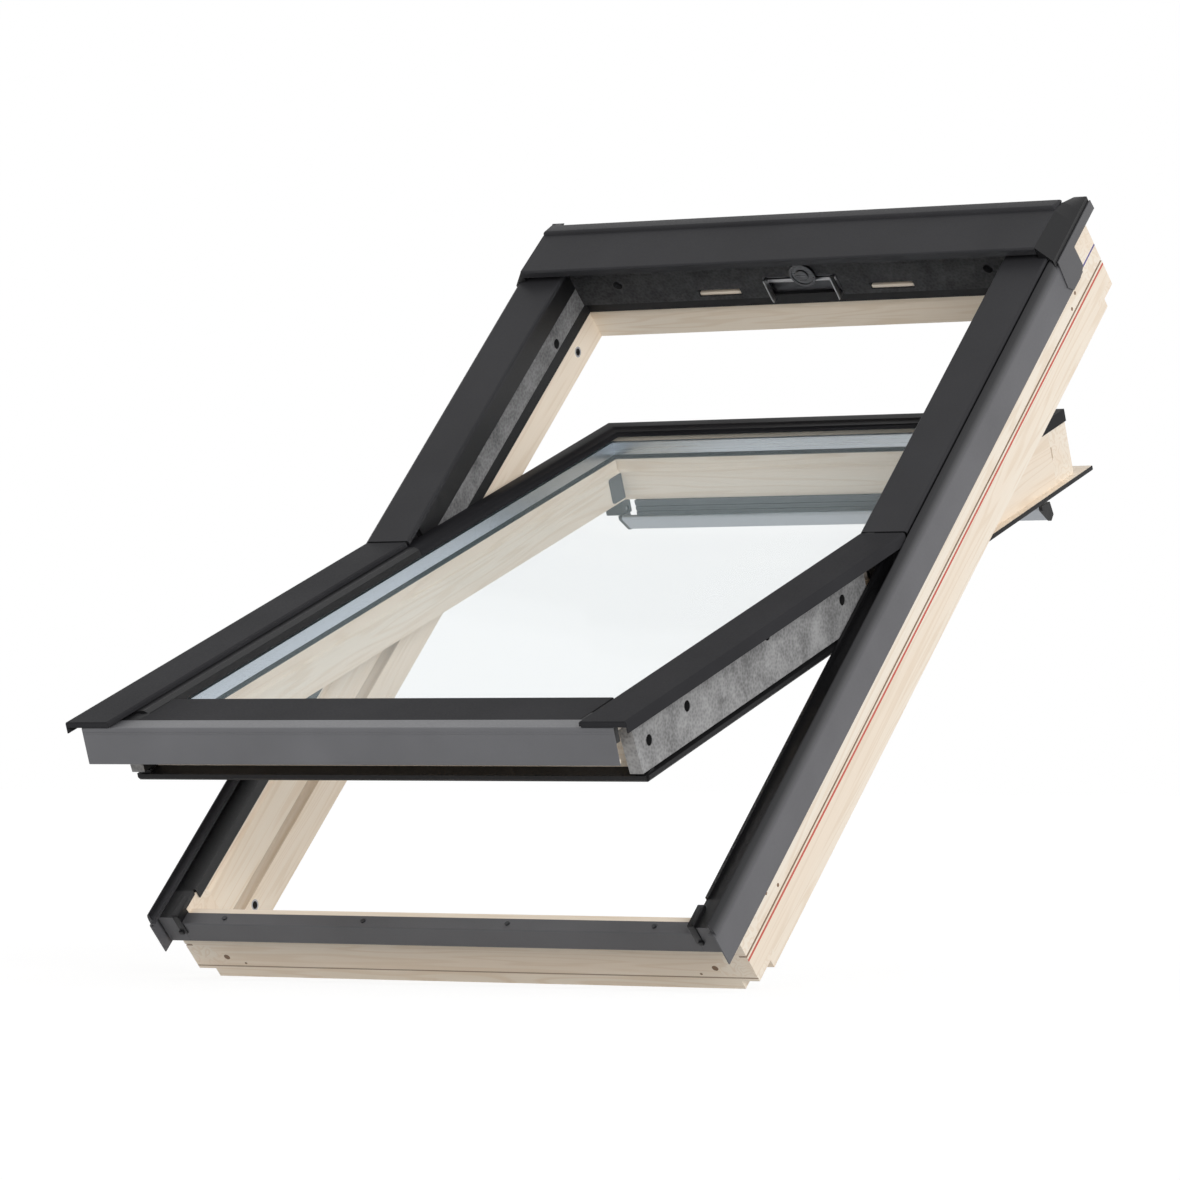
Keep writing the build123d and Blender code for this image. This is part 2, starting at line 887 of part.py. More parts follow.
def hinge_sash_plate():
    points = ((plate_low, plate_bottom), (plate_high, plate_bottom),
              (plate_high, plate_top), (plate_low, plate_top))
    rounds = ((0, plate_corner), (1, plate_corner))
    plate = across(outline(points, rounds), sash_half, hinge_plate_half)
    tongue = arc_section(arc_inner, arc_outer, arc_start, arc_end)
    tip = block_inner_half + arc_depth - arc_clearance
    arc = across(tongue, hinge_plate_half - 1, tip)
    return plate + arc


# Lock, barrel bolt, control bar and flap

def lock_case():
    low = sash_top_outer - lock_depth
    z = (lock_centre - lock_height / 2, lock_centre + lock_height / 2)
    case = block((-lock_half, lock_half), (low, sash_top_outer), z)
    slot_z = (lock_centre - latch_height / 2 - lock_clearance, lock_centre + latch_height / 2 + lock_clearance)
    slot_x = (-latch_half - lock_clearance, latch_half + lock_clearance)
    return case - block(slot_x, (low + lock_plate, sash_top_outer + 1), slot_z)


def latch_bolt():
    z = (lock_centre - latch_height / 2, lock_centre + latch_height / 2)
    low = sash_top_outer - lock_depth + lock_plate + latch_travel + lock_clearance
    bolt = block((-latch_half, latch_half), (low, sash_top_outer + latch_reach), z)
    edge = bolt.edges().filter_by(Axis.X).sort_by(Axis.Y)[-2:]
    return chamfer(edge, latch_height / 4)


def bolt_housing():
    x = (-housing_outer, housing_length - housing_outer)
    y = (bolt_up - housing_half_length, bolt_up + housing_half_length)
    z = (bolt_depth - housing_half_height, shelf_depth - housing_gap)
    body = block(x, y, z)
    bore = Pos(-housing_outer, bolt_up, bolt_depth) * Rot(0, 90, 0) * Cylinder(bolt_radius + bolt_fit, 3 * housing_length)
    slot_half = bolt_knob + housing_slot_gap
    knob = knob_place()
    slot_x = (knob - bolt_travel - slot_half, knob + slot_half)
    return body - bore - block(slot_x, (bolt_up - slot_half, bolt_up + slot_half), (z[0] - 1, bolt_depth))


def knob_place():
    """Place of the knob across the window while the bolt is drawn back."""
    return bolt_length - bolt_tip - bolt_knob_inset


def barrel_bolt():
    middle = bolt_length / 2 - bolt_tip
    bolt = Pos(middle, bolt_up, bolt_depth) * Rot(0, 90, 0) * Cylinder(bolt_radius, bolt_length)
    knob = Pos(knob_place(), bolt_up, (bolt_depth + bolt_knob_end) / 2)
    return bolt + knob * Cylinder(bolt_knob, bolt_depth - bolt_knob_end)


def bolt_bushes():
    group = []
    for up, out in bush_places:
        place = Pos(-opening_half - bush_length / 2, up, out) * Rot(0, 90, 0)
        group.append(place * (Cylinder(bush_radius, bush_length) - Cylinder(bush_radius - bush_wall, bush_length + 2)))
    return Compound(group)


def bush_holes(stile):
    for up, out in bush_places:
        place = Pos(-opening_half - bush_length / 2, up, out) * Rot(0, 90, 0)
        stile -= place * Cylinder(bush_radius, bush_length)
    return stile


def ventilation_flap():
    top = flap_axis_depth + flap_round
    back = flap_axis_up + flap_round
    points = (
        (flap_front, top),
        (back, top),
        (back, flap_axis_depth - flap_round),
        (flap_front + flap_slant, flap_bottom),
        (flap_front, flap_bottom),
    )
    rounds = ((1, flap_round - bead_gap), (2, flap_round - bead_gap))
    flap = across(outline(points, rounds), -flap_half, flap_half)
    for step in (1, 2):
        low = top - step * flap_groove_step
        flap -= block((-flap_half - 1, flap_half + 1), (flap_front - 1, flap_front + flap_groove), (low - flap_groove, low))
    return flap


def control_bar():
    points = (
        (flap_front + 2, bar_top),
        (bar_low, bar_top),
        (bar_low, bar_top - 5),
        (bar_high, bar_bottom),
        (bar_high + 8, bar_bottom + 6),
    )
    path = FilletPolyline(*points, radius=2.5)
    section = make_face(offset(path, amount=bar_wall, side=Side.LEFT))
    return across(section, -bar_half, bar_half)


def bar_end_caps():
    points = (
        (flap_front + 2, bar_top),
        (bar_low, bar_top),
        (bar_low, bar_top - 5),
        (bar_high, bar_bottom),
        (bar_high + 8, bar_bottom + 6),
        (bar_high + 4, bar_top),
    )
    cap = across(outline(points), bar_half, bar_half + bar_cap)
    return Compound([cap, mirrored(cap)])


def blind_bracket():
    points = (
        (bracket_low, bracket_bottom),
        (sash_top_inner - 1, bracket_bottom),
        (sash_top_inner - 1, bracket_top - glass_sight_step),
        (bracket_low, bracket_top - glass_sight_step),
    )
    rounds = ((0, 4), (3, 4))
    return across(outline(points, rounds), sash_inner_half - bracket_plate, sash_inner_half)


def cladding_screws():
    group = []
    for x in cladding_screw_xs:
        middle = front_cladding_front / 2
        place = Pos(x, middle, front_cladding_top + screw_head / 2)
        group.append(place * Cylinder(screw_radius, screw_head))
    return Compound(group)


def frame_pieces():
    left_stile = bush_holes(mirrored(frame_stile()))
    pieces = {
        "frame_bottom_rail": bottom_rail(),
        "frame_top_rail": top_rail(),
        "frame_left_stile": left_stile,
        "frame_right_stile": frame_stile(),
        "bottom_cladding": front_cladding(),
        "upper_gasket": upper_gasket(),
        "top_insulation": top_insulation(),
        "strike_box": strike_box(),
        "strike_roller": strike_roller(),
        "hood": hood(),
        "top_flashing": top_flashing(),
        "bolt_bushes": bolt_bushes(),
        "cladding_screws": cladding_screws(),
    }
    pairs = {
        "side_cladding": side_cladding(),
        "drain_channel": drain_channel(),
        "corner_key": corner_key(),
        "upper_cover": upper_cover(),
        "cover_carrier": cover_carrier(),
        "upper_insulation": upper_insulation(),
        "hood_cap": hood_cap(),
        "hood_bracket": hood_bracket(),
        "hinge_block": hinge_block(),
    }
    return pieces | both_sides(pairs)


def sash_pieces():
    pieces = {
        "sash_bottom_rail": sash_bottom_rail(),
        "sash_top_rail": sash_top_rail(),
        "outer_pane": pane_at(glass_out),
        "inner_pane": pane_at(inner_glass_out),
        "glass_spacer": glass_spacer(),
        "glazing_tape": glazing_tape(),
        "upper_glazing_profile": upper_profile(),
        "bottom_glazing_profile": bottom_profile(),
        "sash_bottom_cover": bottom_cover(),
        "sash_gasket": sash_gasket(),
        "lock_case": lock_case(),
        "latch_bolt": latch_bolt(),
        "bolt_housing": bolt_housing(),
        "barrel_bolt": barrel_bolt(),
        "ventilation_flap": ventilation_flap(),
        "control_bar": control_bar(),
        "bar_end_caps": bar_end_caps(),
    }
    pairs = {
        "sash_stile": sash_stile(),
        "lower_cover": lower_cover(),
        "glazing_bead": lower_bead(),
        "lower_insulation": lower_insulation(),
        "hinge_sash_plate": hinge_sash_plate(),
        "blind_bracket": blind_bracket(),
    }
    return pieces | both_sides(pairs)


def both_sides(pairs):
    pieces = {}
    for name, piece in pairs.items():
        pieces["right_" + name] = piece
        pieces["left_" + name] = mirrored(piece)
    return pieces


opened = Pos(0, pivot_up, pivot_out) * Rot(-open_angle, 0, 0) * Pos(0, -pivot_up, -pivot_out)
on_roof = Rot(roof_pitch, 0, 0) * Pos(0, -frame_height / 2, roof_line_depth)

os.makedirs("parts", exist_ok=True)
for name, piece in frame_pieces().items():
    export_step(on_roof * piece, f"parts/{name}.step")
for name, piece in sash_pieces().items():
    export_step(on_roof * opened * piece, f"parts/{name}.step")
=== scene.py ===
import math

import bpy
from mathutils import Matrix, Vector


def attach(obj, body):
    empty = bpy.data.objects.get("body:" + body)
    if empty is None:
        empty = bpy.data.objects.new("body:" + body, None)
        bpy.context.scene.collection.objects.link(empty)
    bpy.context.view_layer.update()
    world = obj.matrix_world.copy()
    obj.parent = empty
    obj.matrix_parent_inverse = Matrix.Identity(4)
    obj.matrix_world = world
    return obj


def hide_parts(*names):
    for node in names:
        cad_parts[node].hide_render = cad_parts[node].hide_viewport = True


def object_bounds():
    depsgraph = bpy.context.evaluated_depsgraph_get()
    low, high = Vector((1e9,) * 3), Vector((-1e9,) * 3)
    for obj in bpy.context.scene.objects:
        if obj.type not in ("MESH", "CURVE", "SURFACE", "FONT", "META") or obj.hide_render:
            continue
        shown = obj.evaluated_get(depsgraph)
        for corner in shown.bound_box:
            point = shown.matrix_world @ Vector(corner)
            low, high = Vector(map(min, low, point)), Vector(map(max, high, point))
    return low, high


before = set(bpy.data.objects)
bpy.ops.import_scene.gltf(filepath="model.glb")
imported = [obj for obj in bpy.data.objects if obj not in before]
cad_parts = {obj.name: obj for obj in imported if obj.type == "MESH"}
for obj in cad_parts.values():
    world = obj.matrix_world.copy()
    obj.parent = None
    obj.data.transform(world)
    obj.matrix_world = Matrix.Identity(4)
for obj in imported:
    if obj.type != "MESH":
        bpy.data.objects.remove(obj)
cad_box = [list(corner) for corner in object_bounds()]

# Camera: it stands to the right and a little below the middle of the window, far off with a
# long lens, so the window's sides stay nearly parallel as in the photograph.
camera_place = Vector((4.18155, -6.58404, -0.16375))
camera_right = Vector((0.83880, 0.54445, 0.0))
camera_up = Vector((0.01220, -0.01880, 0.99975))
camera_lens = 197.04
camera_sensor = 36.0
camera_reach = 60.0
camera_data = bpy.data.cameras.new("studio_camera")
camera_data.lens = camera_lens
camera_data.sensor_width = camera_sensor
camera_data.clip_end = camera_reach
camera = bpy.data.objects.new("studio_camera", camera_data)
bpy.context.collection.objects.link(camera)
camera_back = camera_right.cross(camera_up)
camera_turn = Matrix((camera_right, camera_up, camera_back)).transposed()
camera.matrix_world = Matrix.Translation(camera_place) @ camera_turn.to_4x4()
bpy.context.scene.camera = camera
bpy.context.scene.view_settings.view_transform = "Standard"

# Light: an even pale room with one broad lamp low on the right, which lights the frame's
# right side fully, its front less and its upper faces least. The room is white to the camera.
room_light = 0.58
room_tint = (1.0, 0.99, 0.98)
room_white = (1.0, 1.0, 1.0)
lamp_power = 1.80
lamp_spread = 35.0
lamp_towards = Vector((0.78, -0.60, 0.15)).normalized()


def straight_rays(nodes, links):
    """1 where the camera looks directly, in a reflection or through glass, and otherwise 0."""
    rays = nodes.new("ShaderNodeLightPath")
    reflected = nodes.new("ShaderNodeMath")
    reflected.operation = "MAXIMUM"
    through = nodes.new("ShaderNodeMath")
    through.operation = "MAXIMUM"
    links.new(rays.outputs["Is Camera Ray"], reflected.inputs[0])
    links.new(rays.outputs["Is Glossy Ray"], reflected.inputs[1])
    links.new(reflected.outputs[0], through.inputs[0])
    links.new(rays.outputs["Is Transmission Ray"], through.inputs[1])
    return through.outputs[0]


room = bpy.data.worlds.new("studio_room")
room.use_nodes = True
bpy.context.scene.world = room
room_nodes = room.node_tree.nodes
room_links = room.node_tree.links
room_nodes.clear()
lighting = room_nodes.new("ShaderNodeBackground")
lighting.inputs["Color"].default_value = (*room_tint, 1.0)
lighting.inputs["Strength"].default_value = room_light
backdrop = room_nodes.new("ShaderNodeBackground")
backdrop.inputs["Color"].default_value = (*room_white, 1.0)
room_mix = room_nodes.new("ShaderNodeMixShader")
room_out = room_nodes.new("ShaderNodeOutputWorld")
room_links.new(straight_rays(room_nodes, room_links), room_mix.inputs["Fac"])
room_links.new(lighting.outputs[0], room_mix.inputs[1])
room_links.new(backdrop.outputs[0], room_mix.inputs[2])
room_links.new(room_mix.outputs[0], room_out.inputs["Surface"])

lamp_data = bpy.data.lights.new("right_lamp", "SUN")
lamp_data.energy = lamp_power
lamp_data.angle = math.radians(lamp_spread)
lamp = bpy.data.objects.new("right_lamp", lamp_data)
bpy.context.collection.objects.link(lamp)
lamp.rotation_mode = "QUATERNION"
lamp.rotation_quaternion = lamp_towards.to_track_quat("Z", "Y")

# Floor: a wide pale sheet under the window's lowest edge. To the camera it is white, as the
# room is, and it keeps a soft shadow.
floor_size = 40.0
floor_gap = 0.0002
floor_grey = 0.75
shadow_grey = 0.25
floor_glow = 0.85
bpy.ops.object.select_all(action="DESELECT")
bpy.ops.mesh.primitive_plane_add(size=floor_size, location=(0.0, 0.0, cad_box[0][2] - floor_gap))
floor = bpy.context.object
floor.name = "studio_floor"
bpy.ops.object.transform_apply(location=True, rotation=True, scale=True)
floor_paint = bpy.data.materials.new("studio_floor")
floor_paint.use_nodes = True
floor_nodes = floor_paint.node_tree.nodes
floor_links = floor_paint.node_tree.links
floor_nodes.clear()
floor_base = floor_nodes.new("ShaderNodeBsdfDiffuse")
floor_base.inputs["Color"].default_value = (floor_grey, floor_grey, floor_grey, 1.0)
floor_shadow = floor_nodes.new("ShaderNodeBsdfDiffuse")
floor_shadow.inputs["Color"].default_value = (shadow_grey, shadow_grey, shadow_grey, 1.0)
floor_white = floor_nodes.new("ShaderNodeEmission")
floor_white.inputs["Strength"].default_value = floor_glow
floor_sum = floor_nodes.new("ShaderNodeAddShader")
floor_mix = floor_nodes.new("ShaderNodeMixShader")
floor_out = floor_nodes.new("ShaderNodeOutputMaterial")
floor_links.new(floor_shadow.outputs[0], floor_sum.inputs[0])
floor_links.new(floor_white.outputs[0], floor_sum.inputs[1])
floor_links.new(straight_rays(floor_nodes, floor_links), floor_mix.inputs["Fac"])
floor_links.new(floor_base.outputs[0], floor_mix.inputs[1])
floor_links.new(floor_sum.outputs[0], floor_mix.inputs[2])
floor_links.new(floor_mix.outputs[0], floor_out.inputs["Surface"])
floor.data.materials.append(floor_paint)

# Frame timber: the window stands on four pine beams glued up from strips and varnished clear.
# The growth rings, the fine fibres and the strips all run along each beam.
roof_pitch = 45.0
sash_opening = 24.84
roof_slope = math.radians(roof_pitch)
sash_slope = math.radians(roof_pitch - sash_opening)
pine_light = (0.950, 0.830, 0.690)
pine_grain = (0.840, 0.700, 0.545)
pine_strip = (0.965, 0.880, 0.760)
varnish_roughness = 0.42
varnish_play = (0.36, 0.52)
varnish_gloss = 0.35
whole = (0.0, 1.0)
noise_middle = (0.3, 0.7)
noise_detail = 2.0
ring_stretch = (34.0, 1.6)
ring_warp = 0.25
ring_count = 62.0
ring_range = (0.2, 1.0)
ring_share = 0.55
ring_height = 0.15
fibre_stretch = (700.0, 14.0)
fibre_range = (0.35, 0.75)
fibre_share = 0.22
strip_stretch = (30.0, 0.9)
strip_range = (0.35, 0.65)
strip_detail = 0.0
grain_bump = 0.25
grain_depth = 0.0002


class Finish:
    """One procedural material: a surface shader and the patterns that feed it."""

    def __init__(self, name, colour, roughness, metal=0.0, gloss=0.5):
        self.material = bpy.data.materials.new(name)
        self.material.use_nodes = True
        self.tree = self.material.node_tree
        self.surface = self.tree.nodes["Principled BSDF"]
        self.surface.inputs["Base Color"].default_value = (*colour, 1.0)
        self.surface.inputs["Roughness"].default_value = roughness
        self.surface.inputs["Metallic"].default_value = metal
        self.surface.inputs["Specular IOR Level"].default_value = gloss

    def node(self, kind, **settings):
        made = self.tree.nodes.new(kind)
        for name, value in settings.items():
            setattr(made, name, value)
        return made

    def link(self, source, target):
        self.tree.links.new(source, target)

    def place(self, turn=0.0, stretch=(1.0, 1.0, 1.0)):
        """Where a point lies on the piece: X across, Y up the slope, Z outwards."""
        where = self.node("ShaderNodeTexCoord")
        turned = self.node("ShaderNodeMapping")
        turned.inputs["Rotation"].default_value = (-turn, 0.0, 0.0)
        self.link(where.outputs["Object"], turned.inputs["Vector"])
        scaled = self.node("ShaderNodeMapping")
        scaled.inputs["Scale"].default_value = stretch
        self.link(turned.outputs["Vector"], scaled.inputs["Vector"])
        return scaled.outputs["Vector"]

    def directions(self, turn):
        """The same place as three numbers: across, up the slope and outwards."""
        split = self.node("ShaderNodeSeparateXYZ")
        self.link(self.place(turn), split.inputs[0])
        return split.outputs["X"], split.outputs["Y"], split.outputs["Z"]

    def noise(self, vector, detail, scale=1.0, warp=0.0):
        made = self.node("ShaderNodeTexNoise")
        made.inputs["Scale"].default_value = scale
        made.inputs["Detail"].default_value = detail
        made.inputs["Distortion"].default_value = warp
        self.link(vector, made.inputs["Vector"])
        return made.outputs["Fac"]

    def reckon(self, operation, first, second=0.0):
        """One step of arithmetic on numbers or patterns."""
        made = self.node("ShaderNodeMath", operation=operation)
        for value, socket in zip((first, second), made.inputs):
            if isinstance(value, float):
                socket.default_value = value
            else:
                self.link(value, socket)
        return made.outputs[0]

    def both(self, first, second):
        """1 where two patterns are 1, or a pattern made weaker by a share."""
        return self.reckon("MULTIPLY", first, second)

    def between(self, value, limits):
        """1 where a value lies between two limits, and 0 elsewhere."""
        low, high = limits
        return self.both(self.reckon("GREATER_THAN", value, low), self.reckon("LESS_THAN", value, high))

    def disc(self, first, second, middle, radius):
        """1 inside a circle in the plane of two directions, and 0 outside it."""
        first_away = self.reckon("POWER", self.reckon("SUBTRACT", first, middle[0]), 2.0)
        second_away = self.reckon("POWER", self.reckon("SUBTRACT", second, middle[1]), 2.0)
        return self.reckon("LESS_THAN", self.reckon("ADD", first_away, second_away), radius ** 2)

    def span(self, value, taken, given):
        """Stretches the range that is taken to the range that is given, and cuts off the rest."""
        made = self.node("ShaderNodeMapRange")
        for name, number in zip(("From Min", "From Max", "To Min", "To Max"), (*taken, *given)):
            made.inputs[name].default_value = number
        self.link(value, made.inputs["Value"])
        return made.outputs["Result"]

    def blend(self, share, first, second):
        """Mixes two colours, or patterns of colour, by a pattern."""
        made = self.node("ShaderNodeMix", data_type="RGBA")
        self.link(share, made.inputs["Factor"])
        for value, socket in zip((first, second), (made.inputs[6], made.inputs[7])):
            if isinstance(value, tuple):
                socket.default_value = (*value, 1.0)
            else:
                self.link(value, socket)
        return made.outputs[2]

    def ground(self):
        """The pattern of colour that the surface has so far."""
        return self.surface.inputs["Base Color"].links[0].from_socket

    def colour(self, value):
        self.link(value, self.surface.inputs["Base Color"])

    def mark(self, where, share, shade):
        """Lays a shade over the colour so far where a pattern is 1, as strongly as the share."""
        self.colour(self.blend(self.both(where, share), self.ground(), shade))

    def rough(self, value):
        self.link(value, self.surface.inputs["Roughness"])

    def bump(self, height, strength, depth):
        made = self.node("ShaderNodeBump")
        made.inputs["Strength"].default_value = strength
        made.inputs["Distance"].default_value = depth
        self.link(height, made.inputs["Height"])
        self.link(made.outputs["Normal"], self.surface.inputs["Normal"])


def shaded(colour, share):
    """The same colour, darker or lighter by a share."""
    return tuple(share * part for part in colour)


def pine(name, turn, along, shade=1.0):
    """Varnished pine whose grain runs along one direction of the piece."""
    wood = Finish(name, pine_light, varnish_roughness, gloss=varnish_gloss)

    def streaks(stretch, detail, warp=0.0):
        cross, long = stretch
        stretched = (cross, long, cross) if along == "up" else (long, cross, cross)
        return wood.noise(wood.place(turn, stretched), detail, warp=warp)

    rings = streaks(ring_stretch, noise_detail, ring_warp)
    figure = wood.reckon("SINE", wood.reckon("MULTIPLY", rings, ring_count))
    fibres = streaks(fibre_stretch, noise_detail)
    strips = streaks(strip_stretch, strip_detail)
    light = shaded(pine_light, shade)
    grain = shaded(pine_grain, shade)
    glued = wood.blend(wood.span(strips, strip_range, whole), light, shaded(pine_strip, shade))
    ringed = wood.blend(wood.span(figure, ring_range, (0.0, ring_share)), glued, grain)
    wood.colour(wood.blend(wood.span(fibres, fibre_range, (0.0, fibre_share)), ringed, grain))
    wood.rough(wood.span(fibres, noise_middle, varnish_play))
    relief = wood.reckon("ADD", fibres, wood.reckon("MULTIPLY", figure, ring_height))
    wood.bump(relief, grain_bump, grain_depth)
    return wood


def dress(finish, *names):
    """Gives these CAD pieces a finish."""
    for name in names:
        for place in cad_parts[name].material_slots:
            place.material = finish.material


stile_pine = pine("stile_pine", roof_slope, "up")
rail_pine = pine("rail_pine", roof_slope, "across")
dress(stile_pine, "frame_left_stile", "frame_right_stile")
dress(rail_pine, "frame_bottom_rail", "frame_top_rail")

# Marks on the timber: a printed red line along the outside of the frame shows how deep it sits
# in the roof, with a milled groove above it and a short blue stroke near the top. Nails leave
# small holes. The groove and the nail holes are painted dark as their shade, and the ledge
# inside the stiles is painted darker as the shade that lies on it.
line_side = 0.3896
line_height = 0.0016
red_ink = (0.60, 0.10, 0.07)
groove_side = 0.38
groove_out = (0.0045, 0.0075)
groove_share = 0.75
groove_shade = (0.22, 0.13, 0.07)
ledge_side = (0.3452, 0.3562)
ledge_out = (-0.0060, 0.0010)
ledge_start = -0.5700
ledge_share = 0.55
ledge_shade = (0.36, 0.27, 0.19)
stroke_up = (0.546, 0.589)
stroke_out = 0.0310
stroke_height = 0.0013
blue_ink = (0.10, 0.09, 0.30)
nail_radius = 0.0024
nail_places = (
    (-0.5096, 0.0264),
    (-0.4853, 0.0141),
    (-0.5319, 0.0286),
    (0.5096, 0.0215),
    (0.4901, 0.0128),
)
for wood in (stile_pine, rail_pine):
    across, up, out = wood.directions(roof_slope)
    away = wood.reckon("ABSOLUTE", across)
    ledge = wood.both(wood.between(away, ledge_side), wood.between(out, ledge_out))
    wood.mark(wood.both(ledge, wood.reckon("GREATER_THAN", up, ledge_start)), ledge_share, ledge_shade)
    groove = wood.both(wood.between(out, groove_out), wood.reckon("GREATER_THAN", away, groove_side))
    wood.mark(groove, groove_share, groove_shade)
    outside = wood.reckon("GREATER_THAN", away, line_side)
    line = wood.reckon("LESS_THAN", wood.reckon("ABSOLUTE", out), line_height)
    wood.mark(line, outside, red_ink)
    stroke_limits = (stroke_out - stroke_height, stroke_out + stroke_height)
    stroke = wood.both(wood.between(up, stroke_up), wood.between(out, stroke_limits))
    wood.mark(stroke, outside, blue_ink)
    for nail_place in nail_places:
        wood.mark(wood.disc(up, out, nail_place, nail_radius), outside, groove_shade)

# Bottom rail's front: a groove runs along it below the cladding, and three holes at each end
# show where the corner joint is screwed and pinned. The groove and the holes are painted dark
# as their shade.
front_up = -0.5885
front_groove_out = (-0.0302, -0.0282)
front_groove_share = 0.8
pin_radius = 0.0017
screw_radius = 0.0040
front_holes = (
    ((0.3626, -0.0130), pin_radius),
    ((0.3397, -0.0140), screw_radius),
    ((0.3170, -0.0240), pin_radius),
)
across, up, out = rail_pine.directions(roof_slope)
away = rail_pine.reckon("ABSOLUTE", across)
front = rail_pine.reckon("LESS_THAN", up, front_up)
front_groove = rail_pine.both(rail_pine.between(out, front_groove_out), front)
rail_pine.mark(front_groove, front_groove_share, groove_shade)
for hole_place, hole_radius in front_holes:
    rail_pine.mark(rail_pine.disc(away, out, hole_place, hole_radius), front, groove_shade)

# Claddings: lacquered aluminium sheet, folded to an angle, covers the stiles' outer edges and
# the bottom rail. The side claddings are painted darker to black towards their upper edge, as
# the shade under the covers.
lacquer_roughness = 0.42
lacquer_gloss = 0.35
cladding_grey = (0.092, 0.092, 0.098)
side_grey = (0.118, 0.118, 0.127)
side_shade_span = (0.0660, 0.0820)
side_shade_black = (0.014, 0.014, 0.016)
peel_size = 420.0
peel_bump = 0.10
peel_depth = 0.0001
peel_play = 0.05
cloud_size = 9.0
cloud_dark = 0.90
cloud_pale = 1.10


def lacquer(name, colour, roughness=lacquer_roughness, gloss=lacquer_gloss):
    """Baked lacquer on folded sheet, with a fine orange-peel surface."""
    paint = Finish(name, colour, roughness, gloss=gloss)
    peel = paint.noise(paint.place(), noise_detail, peel_size)
    cloud = paint.noise(paint.place(), noise_detail, cloud_size)
    cloudy = paint.span(cloud, noise_middle, whole)
    paint.colour(paint.blend(cloudy, shaded(colour, cloud_dark), shaded(colour, cloud_pale)))
    paint.rough(paint.span(peel, noise_middle, (roughness - peel_play, roughness + peel_play)))
    paint.bump(peel, peel_bump, peel_depth)
    return paint


grey_lacquer = lacquer("grey_lacquer", cladding_grey)
dress(grey_lacquer, "bottom_cladding", "top_flashing", "left_hood_bracket", "right_hood_bracket")
side_lacquer = lacquer("side_lacquer", side_grey)
# Painted shade: the side claddings darken to black towards their upper edge, under the covers.
across, up, out = side_lacquer.directions(roof_slope)
painted_side_shade = side_lacquer.span(out, side_shade_span, whole)
side_lacquer.colour(side_lacquer.blend(painted_side_shade, side_lacquer.ground(), side_shade_black))
dress(side_lacquer, "left_side_cladding", "right_side_cladding")

# Shoulders: the side claddings' upper edge is rolled to a broad soft round that comes up to the
# covers. Each is drawn on the flat window, whose lower edge is at 0, and turned up to the roof.
flat_place = (0.0, -0.589, 0.092)
on_roof = Matrix.Rotation(roof_slope, 4, "X") @ Matrix.Translation(flat_place)
hands = ((1.0, "right_"), (-1.0, "left_"))
slack = 0.0001
smooth_corner = math.radians(35.0)
shoulder_across = (0.3864, 0.39145)
shoulder_up = (-0.0290, 1.0820)
shoulder_out = (-0.0090, -0.0040)
shoulder_round = 0.0044
shoulder_steps = 8
shoulder_stretch = 3.6


def bar(name, across, up, out):
    """A new block on the flat window, between two limits across, two up the slope and two out."""
    limits = (across, up, out)
    bpy.ops.object.select_all(action="DESELECT")
    bpy.ops.mesh.primitive_cube_add(size=1.0, location=[(low + high) / 2 for low, high in limits])
    piece = bpy.context.object
    piece.name = name
    piece.scale = [high - low for low, high in limits]
    bpy.ops.object.transform_apply(location=True, rotation=True, scale=True)
    return piece


def side_bar(name, side, across, up, out):
    """The same block on the right, where side is 1, or mirrored on the left, where it is -1."""
    return bar(name, sorted((side * across[0], side * across[1])), up, out)


def pick_edges(piece, wanted):
    """Goes into edit mode with only the edges selected whose two ends are wanted."""
    bpy.ops.object.mode_set(mode="OBJECT")
    for face in piece.data.polygons:
        face.select = False
    for edge in piece.data.edges:
        ends = [piece.data.vertices[number].co for number in edge.vertices]
        edge.select = all(wanted(end) for end in ends)
    for vertex in piece.data.vertices:
        vertex.select = wanted(vertex.co)
    bpy.ops.object.mode_set(mode="EDIT")
    bpy.ops.mesh.select_mode(type="EDGE")


def seat(piece, place, body, finish):
    """Turns a piece from the flat drawing to its place and hands it to its body."""
    bpy.ops.object.mode_set(mode="OBJECT")
    bpy.ops.object.select_all(action="DESELECT")
    piece.select_set(True)
    bpy.context.view_layer.objects.active = piece
    piece.matrix_world = place
    bpy.ops.object.transform_apply(location=True, rotation=True, scale=True)
    piece.data.materials.clear()
    piece.data.materials.append(finish.material)
    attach(piece, body)


def shoulder_edge(end):
    return abs(end.x) > shoulder_across[1] - slack and end.z > shoulder_out[1] - slack


for side, hand in hands:
    shoulder = side_bar(hand + "shoulder", side, shoulder_across, shoulder_up, shoulder_out)
    pick_edges(shoulder, shoulder_edge)
    bpy.ops.mesh.bevel(offset=shoulder_round, segments=shoulder_steps, affect="EDGES")
    bpy.ops.mesh.select_all(action="SELECT")
    bpy.ops.transform.resize(value=(1.0, 1.0, shoulder_stretch),
                             center_override=(0.0, 0.0, shoulder_out[1]))
    bpy.ops.object.mode_set(mode="OBJECT")
    bpy.ops.object.shade_smooth_by_angle(angle=smooth_corner)
    seat(shoulder, on_roof, "frame", side_lacquer)

# Covers: the dark lacquered profiles that close the window from above, on the frame in the
# upper half and on the sash in the lower half, with the hood over the top. The sash's covers
# are seen at a flat angle, and their lacquer is duller, so that they don't mirror the room.
cover_black = (0.032, 0.032, 0.035)
cover_gloss = 0.12
lower_black = (0.036, 0.036, 0.039)
lower_gloss = 0.010
dark_lacquer = lacquer("dark_lacquer", cover_black, gloss=cover_gloss)
dress(dark_lacquer, "left_upper_cover", "right_upper_cover", "hood")
lower_lacquer = lacquer("lower_lacquer", lower_black, gloss=lower_gloss)
dress(lower_lacquer, "left_lower_cover", "right_lower_cover", "bottom_glazing_profile")

